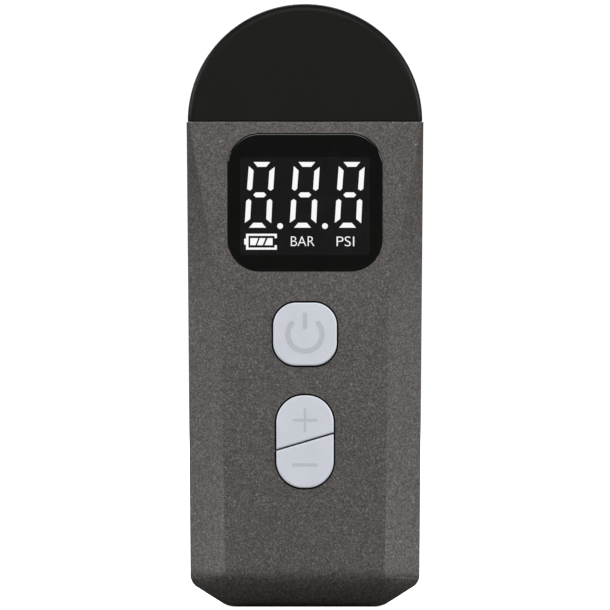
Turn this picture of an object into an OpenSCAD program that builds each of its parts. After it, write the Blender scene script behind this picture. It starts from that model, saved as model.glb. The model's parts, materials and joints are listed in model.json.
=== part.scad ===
// Handheld rechargeable air pump with a round head, a display, three keys and a threaded brass air outlet.
// X is the width, the display faces -Y, the air outlet faces +Y, Z is up. The origin is the centre of the base. Millimetres.

/* [Body] */
// Width of the body at the seam with the head
body_w = 54; // [53.6:0.1:54.6]
// Width of the body just above the base corners
foot_w = 52.3; // [51:0.1:52.4]
// Depth of the body from front to back
body_d = 38; // [38:0.1:39]
// Height of the seam between body and head
seam_z = 110.6; // [110.4:0.1:110.8]
// Thickness of the body walls
wall = 2.2; // [2:0.1:2.3]
// Height at which the side chamfers start to narrow
facet_z = 69; // [66:1:72]

/* [Head] */
// Radius of the round head
head_r = 26.75; // [26.5:0.05:26.9]
// Height of the head's centre and of the air outlet
head_z = 110.75; // [110.75:0.01:110.8]

/* [Display] */
// Width of the display window
lens_w = 35; // [34:0.1:36]
// Height of the display window
lens_h = 31.2; // [30.4:0.1:31.6]
// Height of the window's centre
lens_z = 92.2; // [92:0.1:92.3]

/* [Keys] */
// Width of the power key
power_w = 14.2; // [13.5:0.1:14.6]
// Height of the power key
power_h = 14.1; // [13.5:0.1:14.6]
// Height of the power key's centre
power_z = 62.2; // [62:0.1:62.6]
// Width of the plus and minus keys
adjust_w = 12.9; // [12.6:0.1:13.6]
// Height of the plus and minus keys together
adjust_h = 20.85; // [20.4:0.05:21.4]
// Height of the centre of the plus and minus keys
adjust_z = 37.7; // [37.4:0.1:38]
// Gap between the plus and minus keys
adjust_gap = 0.5; // [0.4:0.1:0.8]

/* [Air outlet] */
// Outside radius of the collar around the outlet
collar_r = 14.05; // [13.9:0.05:14.2]
// Outside radius of the brass insert
insert_r = 7.95; // [7.95:0.01:8]
// Radius of the hole in the brass insert
outlet_r = 5.55; // [5.4:0.05:5.7]
// Length of the straight wall of that hole
outlet_len = 5.4; // [5:0.1:5.5]

/* [Vents] */
// Width of the slots
slot_w = 3.05; // [2.8:0.05:3.2]
// Distance between the rows of vents
vent_pitch = 8.43; // [8.4:0.01:8.6]
// Height of the middle of the vents
vent_z = 78.05; // [77.8:0.05:78.2]

/* [Pump] */
// Bore radius of the cylinder
bore_r = 7; // [7:0.01:7.02]
// Throw of the crank
throw = 3; // [2.8:0.1:3]

/* [Hidden] */
$fn = 48;
pinion_teeth = 10;
gear_teeth = 34;
gear_m = 0.5;                        // gear module

e = 0.01;
half_d = body_d / 2;
side_tilt = atan((body_w - foot_w) / 2 / (seam_z - 5.44));
flat_w = 18.1;                       // half width of the flat faces at the base
flat_lean = atan(1 / facet_z);
chamfer = 7.55;                      // depth of the side chamfers
module_front = -17.45;               // front of the display module
board_front = -12.9;                 // front of the circuit board
board_back = -11.7;
key_face = -half_d - 0.8;            // front of the keys
key_gap = 0.4;                       // gap round the keys
key_back = -15.9;                    // back of the keys' flanges
cell_z = 3.4;                        // pouch cells 8 mm thick, 30 wide and 45 tall
motor_x = 5;                         // the pump is drawn with its head towards +X, then mirrored
pump_y = 1;                          // depth of the motor and crank axes
crank_x = motor_x - gear_m * (pinion_teeth + gear_teeth) / 2;
can_z = 50.4;
can_top = 77.4;
can_r = 12;
gear_z = 80.9;                       // underside of the crank gear
gear_t = 2.9;
cyl_z = gear_z + 14.7;               // height of the cylinder's axis
plate_z = can_top + 0.02;            // underside of the gearbox frame
cyl_x0 = 0.9;
cyl_x1 = 14;
rod_len = 13;
wrist_x = crank_x - throw + rod_len; // wrist pin with the piston furthest from its head

// ---- helpers -------------------------------------------------------------------------------------------------

// outline of a rounded rectangle whose sides swell a little
function rrect(w, h, r, bulge = 0, n = 10) = [for (q = [0:3]) for (i = [0:n])
    let (a = 90 * q + 90 * i / n,
         cx = (q == 0 || q == 3 ? 1 : -1) * (w / 2 - r), cy = (q < 2 ? 1 : -1) * (h / 2 - r),
         x = cx + r * cos(a), y = cy + r * sin(a))
    [x * (1 + bulge * (1 - pow(2 * y / h, 2))), y * (1 + bulge * (1 - pow(2 * x / w, 2)))]];

// a prism whose outline is drawn in X and Z, from depth y0 to y1
module slab(y0, y1) translate([0, y1, 0]) rotate([90, 0, 0]) linear_extrude(y1 - y0) children();

// a rod along Y from y0 to y1
module rod_y(r, y0, y1) translate([0, y1, 0]) rotate([90, 0, 0]) cylinder(r = r, h = y1 - y0);

// a rod along X from x0 to x1
module rod_x(r, x0, x1) translate([x0, 0, 0]) rotate([0, 90, 0]) cylinder(r = r, h = x1 - x0);

// everything on the outer side of the plane through p with normal n
module beyond(p, n) {
    l = norm(n);
    translate(p) rotate([0, acos(n[2] / l), atan2(n[1], n[0])]) translate([-150, -150, 0]) cube([300, 300, 60]);
}

// what rounding to radius r takes off the edge through p where faces with normals m and n meet
module round_edge(p, m, n, r, inset) {
    a = unit(m);
    b = unit(n);
    c = p - (a + b) * r / (1 + a * b);
    mid = unit(a + b);
    d = unit(cross(a, b));
    q = r - inset;
    if (q > 0.5) difference() {
        beyond(c + mid * q * cos(acos(a * b) / 2), mid);
        translate(c) rotate([0, acos(d[2]), atan2(d[1], d[0])]) cylinder(r = q + 0.05, h = 200, center = true);
    }
}

// the body's outside, or the same shape a distance in
module body_form(inset = 0) {
    corner_n = [5.44, 0, -8.7];      // the planes that cut the lower corners
    tilt = (body_w - foot_w) / 2 / (seam_z - 5.44);
    lo = foot_w / 2;
    up = [flat_w + 1, -half_d, facet_z];
    sd = [lo + tilt * (facet_z - 5.44), -half_d + chamfer, facet_z];
    top = [body_w / 2 - 0.2, -half_d + 0.2, seam_z];
    dn = [flat_w, -half_d, 0];
    lean = cross(up - dn, sd - up);
    facet = cross(top - up, sd - up);
    difference() {
        translate([-40, -half_d + inset, inset]) cube([80, body_d - 2 * inset, seam_z - inset + (inset > 0 ? 1 : 0)]);
        for (s = [0, 1]) mirror([s, 0, 0]) {
            beyond([lo - inset, 0, 5.44], [1, 0, -tilt]);
            beyond([17.45, 0, 0] - inset * unit(corner_n), corner_n);
            round_edge([lo, 0, 5.44], [1, 0, -tilt], corner_n, 3.5, inset);
            round_edge([17.45, 0, 0], [0, 0, -1], corner_n, 7, inset);
            for (t = [0, 1]) mirror([0, t, 0]) {
                round_edge([flat_w, -half_d, 0], outward(lean), [0, 0, -1], t == 0 ? 7.5 : 6, inset);
            }
            for (t = [0, 1]) mirror([0, t, 0]) {
                intersection() {
                    beyond(up - inset * unit(outward(lean)), outward(lean));
                    translate([-60, -60, facet_z - 100]) cube([120, 120, 100]);
                }
                intersection() {
                    beyond(up - inset * unit(outward(facet)), outward(facet));
                    translate([-60, -60, facet_z]) cube([120, 120, 100]);
                }
            }
        }
        for (t = [0, 1]) mirror([0, t, 0]) difference() {
            translate([-60, -half_d - 1, -1]) cube([120, 8.5 - (t == 0 ? 0 : 1.5), 8.5 - (t == 0 ? 0 : 1.5)]);
            translate([0, -half_d + (t == 0 ? 7.5 : 6), t == 0 ? 7.5 : 6]) rod_x((t == 0 ? 7.56 : 6.05) - inset, -61, 61);
        }
    }
}
function unit(v) = v / norm(v);
function outward(v) = v[0] < 0 ? -v : v;

// the cross-section of the body at the seam, a distance in, for the head's skirt
module skirt_outline(inset) {
    w = body_w / 2 - inset;
    d = half_d - inset;
    c = 3;
    polygon([[w, -d + c], [w, d - c], [w - c, d], [-w + c, d], [-w, d - c], [-w, -d + c], [-w + c, -d], [w - c, -d]]);
}

// the head's outside, or the same shape a distance in: a thick disc with rounded rims
module head_form(inset = 0) {
    r = head_r - inset;
    h = half_d - 0.3 - inset;
    f = 1.6;
    translate([0, 0, head_z]) rotate([90, 0, 0]) rotate_extrude($fn = 96) polygon(concat([[0, -h]],
        [for (i = [0:6]) [r - f + f * sin(15 * i), -h + f - f * cos(15 * i)]],
        [for (i = [0:6]) [r - f + f * cos(15 * i), h - f + f * sin(15 * i)]], [[0, h]]));
}

module lens_outline(grow = 0) translate([0, lens_z]) polygon(rrect(lens_w + 2 * grow, lens_h + 2 * grow, 7 + grow, 0.012, 12));
module power_outline(grow = 0) translate([0, power_z]) polygon(rrect(power_w + 2 * grow, power_h + 2 * grow, 5 + grow, 0.02));
module adjust_outline(grow = 0) translate([0, adjust_z]) polygon(rrect(adjust_w + 2 * grow, adjust_h + 2 * grow, 6 + grow, 0.012));
// half of the pair of adjust keys, above (s = 1) or below (s = -1) the sloping gap
module adjust_half(s, grow = 0) intersection() {
    adjust_outline(grow);
    translate([0, adjust_z]) rotate(16.5) translate([-20, s > 0 ? adjust_gap / 2 : -30 - adjust_gap / 2]) square([40, 30]);
}

// a spur gear's outline with straight-sided teeth rounded towards their tips
function tooth_pts(m, z, a, slack) = let (rp = m * z / 2, rr = rp - 1.2 * m, ra = rp + 0.95 * m, q = 90 / z - slack)
    [for (p = [[rr, q * 1.55], [rp - 0.5 * m, q * 1.22], [rp, q], [rp + 0.5 * m, q * 0.7], [ra, q * 0.36],
        [ra, -q * 0.36], [rp + 0.5 * m, -q * 0.7], [rp, -q], [rp - 0.5 * m, -q * 1.22], [rr, -q * 1.55]])
        [p[0] * cos(a + p[1]), p[0] * sin(a + p[1])]];
module spur(m, z, h, phase, slack) linear_extrude(h)
    polygon([for (i = [z:-1:1]) each tooth_pts(m, z, 360 / z * i + phase, slack)]);

// a round-headed screw along -Z from its seat at the origin, with a cross recess
module screw(r, len, head = 1.9, hh = 1.2) difference() {
    union() { cylinder(r = r, h = len + e); translate([0, 0, len]) cylinder(r1 = head, r2 = head * 0.72, h = hh); }
    for (a = [0, 90]) rotate(a) translate([-head * 0.62, -0.2, len + hh - 0.6]) cube([head * 1.24, 0.4, 2]);
}

// ---- casing --------------------------------------------------------------------------------------------------

bosses = [[18.8, 14], [-18.8, 14], [21.2, 60], [-21.2, 60]];  // across, up: pins that hold the shells together

module case_openings() {
    slab(-half_d - 1, -half_d + 1.32) lens_outline(0.08);
    slab(-half_d - 1, -half_d + 6) translate([0, 91.4]) square([30.6, 23.6], center = true);
    slab(-half_d - 1, -half_d + 6) power_outline(key_gap);
    slab(-half_d - 1, -half_d + 6) adjust_outline(key_gap);
}

module shell(front) {
    s = front ? -1 : 1;
    intersection() {
        difference() {
            body_form();
            body_form(wall);
            translate([0, 0, seam_z - 3.6]) linear_extrude(5) skirt_outline(wall - 0.05);
        }
        translate([-40, front ? -40 : 0.12, -1]) cube([80, 40 - (front ? 0.12 : 0), 140]);
    }
}

module front_shell() color([0.38, 0.36, 0.35]) {
    difference() {
        union() {
            shell(true);
            // tongue that locates the rear shell
            intersection() {
                difference() { body_form(wall - 0.9); body_form(wall + 0.3); }
                translate([-40, -2, 9]) cube([80, 3.2, 96]);
            }
            // posts that carry the circuit board
            for (x = [-17, 17], z = [30, 70]) translate([x, 0, z]) rod_y(2.2, -17.4, board_front);
            // bosses with press pins
            for (p = bosses) translate([p[0], 0, p[1]]) { rod_y(2.4, -half_d + 4, 4.2); rod_y(1.2, 4, 9); }
        }
        case_openings();
        for (x = [-17, 17], z = [30, 70]) translate([x, 0, z]) rod_y(0.8, -16.4, board_front + 1);
        // charging socket opening in the base
        translate([0, -5, -1]) linear_extrude(8) polygon(rrect(9.4, 3.7, 1.8));
        // the bosses stay inside the walls
        difference() { translate([-50, -50, -1]) cube([100, 100, 140]); body_form(); }
    }
}

module rear_shell() color([0.38, 0.36, 0.35]) difference() {
    union() {
        shell(false);
        for (p = bosses) translate([p[0], 0, p[1]]) rod_y(2.6, 4.3, half_d - 1.5);
        // posts for the gearbox frame
        for (x = [-19, 19]) translate([x, 0, 84]) rod_y(2.4, 12.85, half_d - 1.6);
    }
    // groove for the front shell's tongue
    intersection() {
        difference() { body_form(wall - 1); body_form(wall + 0.5); }
        translate([-40, -1, 8.8]) cube([80, 2.4, 96.4]);
    }
    translate([0, 0, head_z]) rod_y(collar_r + 0.1, 0, 30);
    for (p = bosses) translate([p[0], 0, p[1]]) rod_y(1.26, 0, 9.6);
    for (x = [-19, 19]) translate([x, 0, 84]) rod_y(0.8, 12, 16.4);
    // vents on a diagonal
    translate([0, 0, vent_z]) rotate([0, -45, 0]) for (k = [-2:2]) translate([k * vent_pitch, 0, 0]) {
        run = k == 0 ? 22.3 : 13.9;
        if (abs(k) == 2) rod_y(1.55, 10, 30);
        else {
            for (s = [-1, 1]) translate([0, 0, s * run / 2]) rod_y(slot_w / 2, 10, 30);
            translate([-slot_w / 2, 10, -run / 2]) cube([slot_w, 20, run]);
        }
    }
    difference() { translate([-50, -50, -1]) cube([100, 100, 140]); body_form(); }
}

module head_cap() color([0.12, 0.12, 0.115]) difference() {
    union() {
        intersection() {
            difference() { head_form(); head_form(2.1); }
            translate([-40, -40, seam_z + 0.12]) cube([80, 80, 60]);
        }
        // skirt inside the body
        difference() {
            translate([0, 0, seam_z - 3.4]) linear_extrude(4.2) skirt_outline(wall + 0.05);
            translate([0, 0, seam_z - 3.5]) linear_extrude(8) skirt_outline(wall + 1.25);
        }
    }
    translate([0, 0, head_z]) rod_y(collar_r + 0.1, 0, 30);
}

// ---- air outlet ----------------------------------------------------------------------------------------------

module outlet_collar() color([0.18, 0.18, 0.185]) translate([0, 0, head_z]) difference() {
    union() {
        rod_y(collar_r, 16.4, half_d + 0.5);
        translate([0, half_d + 0.8, 0]) rotate([90, 0, 0]) cylinder(r1 = collar_r - 0.3, r2 = collar_r, h = 0.3);
    }
    translate([0, half_d + 0.81, 0]) rotate([90, 0, 0]) cylinder(r1 = 9.7, r2 = 8.35, h = 2.6);
    rod_y(insert_r + 0.02, 0, 30);
}

module outlet_insert() color([0.69, 0.56, 0.41]) translate([0, 0, head_z]) difference() {
    union() {
        // fine knurl around the rim
        translate([0, 18.4, 0]) rotate([90, 0, 0]) linear_extrude(7)
            polygon([for (i = [0:127]) let (r = i % 2 == 0 ? insert_r : insert_r - 0.22) [r * cos(i * 360 / 128), r * sin(i * 360 / 128)]]);
        rod_y(insert_r - 0.25, 11.4, 18.6);
        translate([0, 18.9, 0]) rotate([90, 0, 0]) cylinder(r1 = insert_r - 0.6, r2 = insert_r - 0.25, h = 0.31);
    }
    rod_y(outlet_r, 18.3 - outlet_len, 30);
    translate([0, 18.91, 0]) rotate([90, 0, 0]) cylinder(r1 = outlet_r + 0.6, r2 = outlet_r, h = 0.6);
    // relief behind the wall, then the seal's seat and the way in
    rod_y(5.9, 12.2, 18.31 - outlet_len);
    rod_y(5.3, 11.65, 12.21);
    rod_y(4, 0, 12);
}

module outlet_seal() color([0.1, 0.1, 0.1]) translate([0, 12.12, head_z]) rotate([90, 0, 0]) difference() {
    cylinder(r = 5.26, h = 0.45);
    translate([0, 0, -1]) cylinder(r = 3.6, h = 3);
}

module outlet_manifold() color([0.2, 0.2, 0.21]) mirror([1, 0, 0]) translate([0, 0, head_z]) difference() {
    union() {
        rod_y(10.6, 9.5, 16.3);
        translate([0, 12.7, 0]) rod_x(1.3, 8, 12.8);
    }
    rod_y(insert_r + 0.02, 11.4, 30);
    rod_y(9.2, 10.5, 11.41);
    translate([0, 12.7, 0]) rod_x(0.75, 8.8, 20);
    translate([8.8, 0, 0]) rod_y(0.75, 11.2, 12.7);
}

// the hose from the cylinder head to the manifold, with one square bend
module hose_path(r, over) {
    translate([17.9, 12.7, 98.2 - over]) cylinder(r = r, h = 7.55 + over);
    translate([12.9, 12.7, 105.75]) rotate([90, 0, 0]) rotate_extrude(angle = 90) translate([head_z - 105.75, 0]) circle(r = r);
    translate([0, 12.7, head_z]) rod_x(r, 10.95 - over, 12.9);
}
module delivery_tube() color([0.75, 0.75, 0.73]) mirror([1, 0, 0]) difference() { hose_path(2.15, 0); hose_path(1.32, 1); }

// ---- display and keys ----------------------------------------------------------------------------------------

module display_window() color([0.07, 0.08, 0.08]) slab(-half_d - 0.02, -half_d + 1.3) lens_outline();

module display_module() color([0.11, 0.11, 0.11]) difference() {
    slab(module_front, board_front) translate([0, 91.4]) square([30, 23], center = true);
    // light wells of three digits with seven segments each
    for (x = [-10.3, 0, 10.2]) translate([x, 0, 93.9]) for (s = [-1, 1]) {
        for (t = [-1, 1]) translate([s * 2.7, 0, t * 3.6]) slab(module_front - 1, module_front + 2.4) square([1.3, 5.6], center = true);
        translate([0, 0, s * 6.85]) slab(module_front - 1, module_front + 2.4) square([3.6, 1.3], center = true);
    }
}

module key(y_face) {
    slab(y_face, key_back - 0.69) children(0);
    slab(key_back - 0.7, key_back) children(1);
}

module power_button() color([0.83, 0.84, 0.88]) key(key_face) { power_outline(); power_outline(1); }
module plus_button() color([0.83, 0.84, 0.88]) key(key_face) { adjust_half(1); adjust_half(1, 0.9); }
module minus_button() color([0.83, 0.84, 0.88]) key(key_face) { adjust_half(-1); adjust_half(-1, 0.9); }

switch_z = [power_z, adjust_z + 5, adjust_z - 5.2];
module plunger(z) color([0.85, 0.85, 0.8]) translate([0, 0, z]) rod_y(1.6, key_back, -14);
module power_plunger() plunger(switch_z[0]);
module plus_plunger() plunger(switch_z[1]);
module minus_plunger() plunger(switch_z[2]);
module tact_switches() color([0.15, 0.15, 0.16]) for (z = switch_z) difference() {
    translate([-3, -15.1, z - 3]) cube([6, 15.1 + board_front, 6]);
    translate([0, 0, z]) rod_y(1.68, -20, -13.3);
}

module main_board() color([0.1, 0.32, 0.18]) difference() {
    union() {
        translate([-19.8, board_front, 20]) cube([39.6, board_back - board_front, 84.4]);
        // controller chip, driver and storage coil on the back
        translate([-12, board_back - e, 38]) cube([7, 0.9, 7]);
        translate([6, board_back - e, 50]) cube([5, 0.9, 6]);
        translate([12, 0, 64]) rod_y(3, board_back - e, board_back + 2.6);
    }
    for (p = bosses) translate([p[0], 0, p[1]]) rod_y(2.7, -20, 0);
    for (x = [-17, 17], z = [30, 70]) translate([x, 0, z]) rod_y(1.1, -20, 0);
}
module board_screws() color([0.6, 0.6, 0.62]) for (x = [-17, 17], z = [30, 70])
    translate([x, board_back, z]) rotate([-90, 0, 0]) translate([0, 0, -4.2]) screw(0.79, 4.2, 1.7, 1);

module pressure_sensor() color([0.9, 0.9, 0.88]) difference() {
    union() {
        translate([12.5, board_back, 93]) cube([6, 3, 6]);
        translate([15.5, 0, 96]) rod_y(1.2, board_back + 2.9, board_back + 5.5);
    }
    translate([15.5, 0, 96]) rod_y(0.5, board_back + 2, 0);
}

module charging_socket() color([0.75, 0.76, 0.78]) translate([0, -5, 0]) difference() {
    translate([0, 0, 0.6]) linear_extrude(7.3) polygon(rrect(8.94, 3.26, 1.6));
    difference() {
        translate([0, 0, -1]) linear_extrude(7.4) polygon(rrect(8.3, 2.62, 1.29));
        translate([-3.3, -0.35, 1.3]) cube([6.6, 0.7, 12]);
    }
}
module charging_board() color([0.1, 0.32, 0.18]) translate([-8, -7.8, 2.9]) cube([16, 1.1, 14]);

// ---- battery -------------------------------------------------------------------------------------------------

module cell(y) color([0.72, 0.73, 0.75]) {
    translate([-15, y, cell_z]) cube([30, 7.9, 43.5]);
    translate([-14, y + 2.9, cell_z + 43.4]) cube([28, 2, 1.4]);
}
module front_cell() cell(-0.7);
module rear_cell() cell(7.3);
module battery_tabs() color([0.78, 0.78, 0.76]) for (y = [3.1, 11.1], x = [-9, 5])
    translate([x, y, cell_z + 44.81]) cube([4, 0.3, 1]);
module battery_tray() color([0.1, 0.1, 0.11]) {
    translate([-15.9, -2.3, cell_z]) cube([31.8, 1.5, 43]);
    for (x = [-15.9, 15.1]) translate([x, -0.81, cell_z]) cube([0.8, 9.8, 43]);
}

// ---- motor ---------------------------------------------------------------------------------------------------

module at_motor() mirror([1, 0, 0]) translate([motor_x, pump_y, 0]) children();
module at_crank() mirror([1, 0, 0]) translate([crank_x, pump_y, 0]) children();
// the cylinder's axis is X here, with its closed end at +X before the mirror
module at_cylinder() mirror([1, 0, 0]) translate([0, pump_y, cyl_z]) children();

module motor_can() color([0.72, 0.72, 0.73]) at_motor() difference() {
    union() {
        translate([0, 0, can_z]) cylinder(r = can_r, h = can_top - can_z);
        translate([0, 0, can_top - e]) cylinder(r = 3.2, h = 1.3);
    }
    translate([0, 0, can_z - 1]) cylinder(r = can_r - 0.9, h = can_top - can_z + 0.1);
    translate([0, 0, can_z - 5]) cylinder(r = 2.2, h = 60);
    for (a = [-35, 35]) rotate(a) translate([8, 0, can_top - 4]) cylinder(r = 0.8, h = 20);
}
module motor_end_cap() color([0.14, 0.14, 0.15]) at_motor() difference() {
    union() {
        translate([0, 0, can_z + 0.02]) cylinder(r = can_r - 0.92, h = 2);
        translate([0, 0, can_z - 1]) cylinder(r = 3.4, h = 1.1);
    }
    translate([0, 0, can_z - 2]) cylinder(r = 2.2, h = 10);
    for (x = [-6, 6]) translate([x - 1.05, -7.2, can_z - 3]) cube([2.1, 0.55, 9]);
}
module motor_terminals() color([0.75, 0.62, 0.35]) at_motor() for (x = [-6, 6])
    difference() {
        translate([x - 1, -7.18, can_z - 2.8]) cube([2, 0.5, 5.8]);
        translate([x, 0, can_z - 1.8]) rod_y(0.4, -9, -4);
    }
module motor_magnets() color([0.25, 0.25, 0.27]) at_motor() difference() {
    translate([0, 0, can_z + 5]) cylinder(r = can_r - 0.92, h = 17);
    translate([0, 0, can_z]) cylinder(r = 8.6, h = 40);
    for (s = [-1, 1]) translate([-2.5, s > 0 ? 0 : -20, can_z]) cube([5, 20, 40]);
}
module motor_bushes() color([0.7, 0.55, 0.3]) at_motor() for (z = [can_z - 1, can_top - 1.2]) translate([0, 0, z]) difference() {
    cylinder(r = 2.18, h = 2.4);
    translate([0, 0, -1]) cylinder(r = 1.05, h = 6);
}
module motor_shaft() color([0.8, 0.8, 0.82]) at_motor() translate([0, 0, can_z - 1.2]) cylinder(r = 1, h = gear_z + 3.4 - can_z + 1.2);
module armature_core() color([0.35, 0.33, 0.32]) at_motor() difference() {
    translate([0, 0, can_z + 6.5]) cylinder(r = 8.1, h = 13.5);
    translate([0, 0, can_z]) cylinder(r = 1.01, h = 40);
    for (a = [0, 120, 240]) rotate(a) {
        translate([5.6, -0.7, can_z]) cube([4, 1.4, 40]);
        translate([5, 0, can_z]) cylinder(r = 2.1, h = 40);
    }
}
module armature_windings() color([0.65, 0.3, 0.14]) at_motor() for (a = [0, 120, 240]) rotate(a) difference() {
    translate([5, 0, can_z + 5]) cylinder(r = 2.06, h = 16.5);
    translate([5, 0, can_z]) cylinder(r = 0.7, h = 40);
}
module commutator() color([0.72, 0.45, 0.2]) at_motor() difference() {
    translate([0, 0, can_z + 2.6]) cylinder(r = 2.2, h = 2.2);
    translate([0, 0, can_z]) cylinder(r = 1.01, h = 40);
    for (a = [0:60:359]) rotate(a) translate([1.7, -0.12, can_z]) cube([2, 0.24, 20]);
}
module motor_screws() color([0.6, 0.6, 0.62]) at_motor() for (a = [-35, 35]) rotate(a)
    translate([8, 0, plate_z + 2.92 - 4.3]) screw(0.78, 4.3, 1.4, 0.6);

// ---- gears, crank and cylinder -------------------------------------------------------------------------------

module drive_pinion() color([0.8, 0.68, 0.4]) at_motor() translate([0, 0, gear_z - 0.2]) difference() {
    spur(gear_m, pinion_teeth, gear_t + 0.3, 0, 1.3);
    translate([0, 0, -1]) cylinder(r = 1.01, h = 9);
}
module crank_gear() color([0.85, 0.85, 0.82]) at_crank() translate([0, 0, gear_z]) difference() {
    spur(gear_m, gear_teeth, gear_t, 180 / gear_teeth, 0.4);
    translate([0, 0, -1]) cylinder(r = 1.99, h = 9);
    for (a = [0:60:359]) rotate(a) translate([5, 0, -1]) cylinder(r = 1.4, h = 9);
}
module crank_shaft() color([0.8, 0.8, 0.82]) at_crank() translate([0, 0, gear_z - 1.7]) cylinder(r = 1.98, h = 9);
module crank_bearings() color([0.7, 0.7, 0.72]) at_crank() {
    translate([0, 0, gear_z - 1.95]) difference() {
        cylinder(r = 3.2, h = 1.35);
        translate([0, 0, 0.15]) cylinder(r = 2.02, h = 9);
    }
    translate([0, 0, gear_z + 3.5]) difference() {
        cylinder(r = 4, h = 2.9);
        translate([0, 0, -1]) cylinder(r = 2.02, h = 9);
        for (q = [-1, 2.4]) translate([0, 0, q]) difference() { cylinder(r = 3.4, h = 1.5); translate([0, 0, -1]) cylinder(r = 2.6, h = 9); }
    }
}
module crank_disc() color([0.62, 0.62, 0.64]) at_crank() translate([0, 0, gear_z + 6.8]) difference() {
    union() {
        cylinder(r = 5.9, h = 1.1);
        // counterweight opposite the crank pin
        intersection() {
            translate([0, 0, 1]) cylinder(r = 5.9, h = 1.1);
            translate([1.2, -10, 0]) cube([10, 20, 20]);
        }
        // boss under the crank pin
        translate([-throw, 0, 1]) cylinder(r = 1.9, h = 1.1);
    }
    translate([0, 0, -5]) cylinder(r = 1.99, h = 5.52);
}

module gearbox_frame() color([0.27, 0.27, 0.28]) mirror([1, 0, 0]) difference() {
    union() {
        // motor plate
        translate([-17, pump_y - 11, plate_z]) cube([33, 22, 2.9]);
        // deck that holds the upper crank bearing
        translate([-17, pump_y - 10.5, gear_z + 3.5]) cube([17, 21, 3]);
        // side walls
        for (y = [pump_y - 11, pump_y + 9.8]) translate([-17, y, plate_z]) cube([18, 1.2, 9.98]);
        translate([-17.6, pump_y - 11, plate_z]) cube([1.4, 22, 9.98]);
        // saddle under the cylinder
        for (y = [pump_y - 9.8, pump_y + 8.4]) translate([2.4, y, plate_z]) cube([10, 1.4, cyl_z - plate_z]);
        translate([2.4, pump_y - 9.8, gear_z + 4]) cube([10, 19.6, 3.6]);
        // ears screwed to the rear shell
        translate([-21.6, 11.2, 81]) cube([6, 1.6, 6]);
        translate([11, 9.4, 81]) cube([1.4, 3.4, 6]);
        translate([11, 11.2, 81]) cube([10.6, 1.6, 6]);
    }
    at_motor_plain() {
        translate([0, 0, can_top - 5]) cylinder(r = 3.25, h = 8.5);
        for (a = [-35, 35]) rotate(a) translate([8, 0, can_top - 5]) cylinder(r = 0.9, h = 8.5);
    }
    translate([crank_x, pump_y, 0]) {
        translate([0, 0, gear_z - 2]) cylinder(r = 3.22, h = 2);
        translate([0, 0, gear_z + 3.4]) cylinder(r = 4.02, h = 4);
    }
    translate([0, pump_y, cyl_z]) rod_x(8.02, 0, 40);
    for (x = [-19, 19]) translate([x, 0, 84]) rod_y(1, 5, 20);
}
module at_motor_plain() translate([motor_x, pump_y, 0]) children();
module frame_screws() color([0.6, 0.6, 0.62]) for (x = [-19, 19])
    translate([x, 11.18 + 4.6, 84]) rotate([90, 0, 0]) screw(0.78, 4.6, 1.3, 1);

module pump_cylinder() color([0.7, 0.71, 0.73]) at_cylinder() difference() {
    union() { rod_x(8, cyl_x0, cyl_x1); rod_x(8.9, 12.6, cyl_x1); }
    rod_x(bore_r, -5, 30);
}
module piston() color([0.68, 0.68, 0.7]) at_cylinder() translate([wrist_x, 0, 0]) difference() {
    rod_x(bore_r - 0.05, -3, 3.4);
    // groove for the ring
    difference() { rod_x(9, 1.6, 2.6); rod_x(5.9, 1, 3); }
    // room for the rod's small end
    translate([-4, -4.5, -2.6]) cube([6.4, 9, 5.2]);
    translate([0, 0, -10]) cylinder(r = 1.26, h = 20);
    // inlet ports through the crown
    for (s = [-1, 1]) translate([0, s * 2, 0]) rod_x(0.8, 2, 5);
}
module piston_ring() color([0.12, 0.12, 0.12]) at_cylinder() translate([wrist_x, 0, 0]) difference() {
    rod_x(bore_r - 0.02, 1.62, 2.58);
    rod_x(5.93, 0, 4);
}
module inlet_reed() color([0.75, 0.76, 0.78]) at_cylinder() translate([wrist_x, 0, 0]) rod_x(3.3, 3.41, 3.56);
module wrist_pin() color([0.82, 0.82, 0.84]) at_cylinder() translate([wrist_x, 0, -5.6]) cylinder(r = 1.25, h = 11.2);
module connecting_rod() color([0.75, 0.76, 0.78]) at_cylinder() translate([wrist_x, 0, -1.9]) difference() {
    union() {
        cylinder(r = 2.2, h = 3.8);
        translate([-rod_len, 0, 0]) cylinder(r = 3.1, h = 3.8);
        translate([-rod_len + 2, -1.5, 0.4]) cube([rod_len - 3, 3, 3]);
    }
    translate([0, 0, -1]) cylinder(r = 1.3, h = 6);
    translate([-rod_len, 0, -1]) cylinder(r = 1.51, h = 6);
}
module crank_pin() color([0.82, 0.82, 0.84]) at_crank() translate([-throw, 0, gear_z + 9.15]) cylinder(r = 1.5, h = 8);

module valve_plate() color([0.66, 0.67, 0.7]) at_cylinder() difference() {
    rod_x(7.9, cyl_x1 + 0.02, cyl_x1 + 1.2);
    rod_x(1.4, 10, 20);
}
module cylinder_head() color([0.5, 0.51, 0.53]) at_cylinder() difference() {
    union() {
        rod_x(7.9, cyl_x1 + 1.22, 20.4);
        // outlet boss with its hose nipple
        translate([17.9, 0, 0]) rod_y(2.3, 6.5, 14);
        translate([17.9, 11.7, 0]) cylinder(r = 1.3, h = 5.2);
    }
    // valve chamber
    rod_x(3.2, cyl_x1 + 1, 19.2);
    translate([17.9, 0, 0]) rod_y(0.8, 0, 12.3);
    translate([17.9, 11.7, 0]) cylinder(r = 0.75, h = 12);
    for (a = [45, 135, 225, 315]) rotate([a, 0, 0]) translate([0, 6.1, 0]) rod_x(0.95, 10, 40);
}
module head_screws() color([0.6, 0.6, 0.62]) at_cylinder() for (a = [45, 135, 225, 315]) rotate([a, 0, 0])
    translate([15.25, 6.1, 0]) rotate([0, 90, 0]) screw(0.9, 5.17, 1.5, 0.7);
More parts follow.
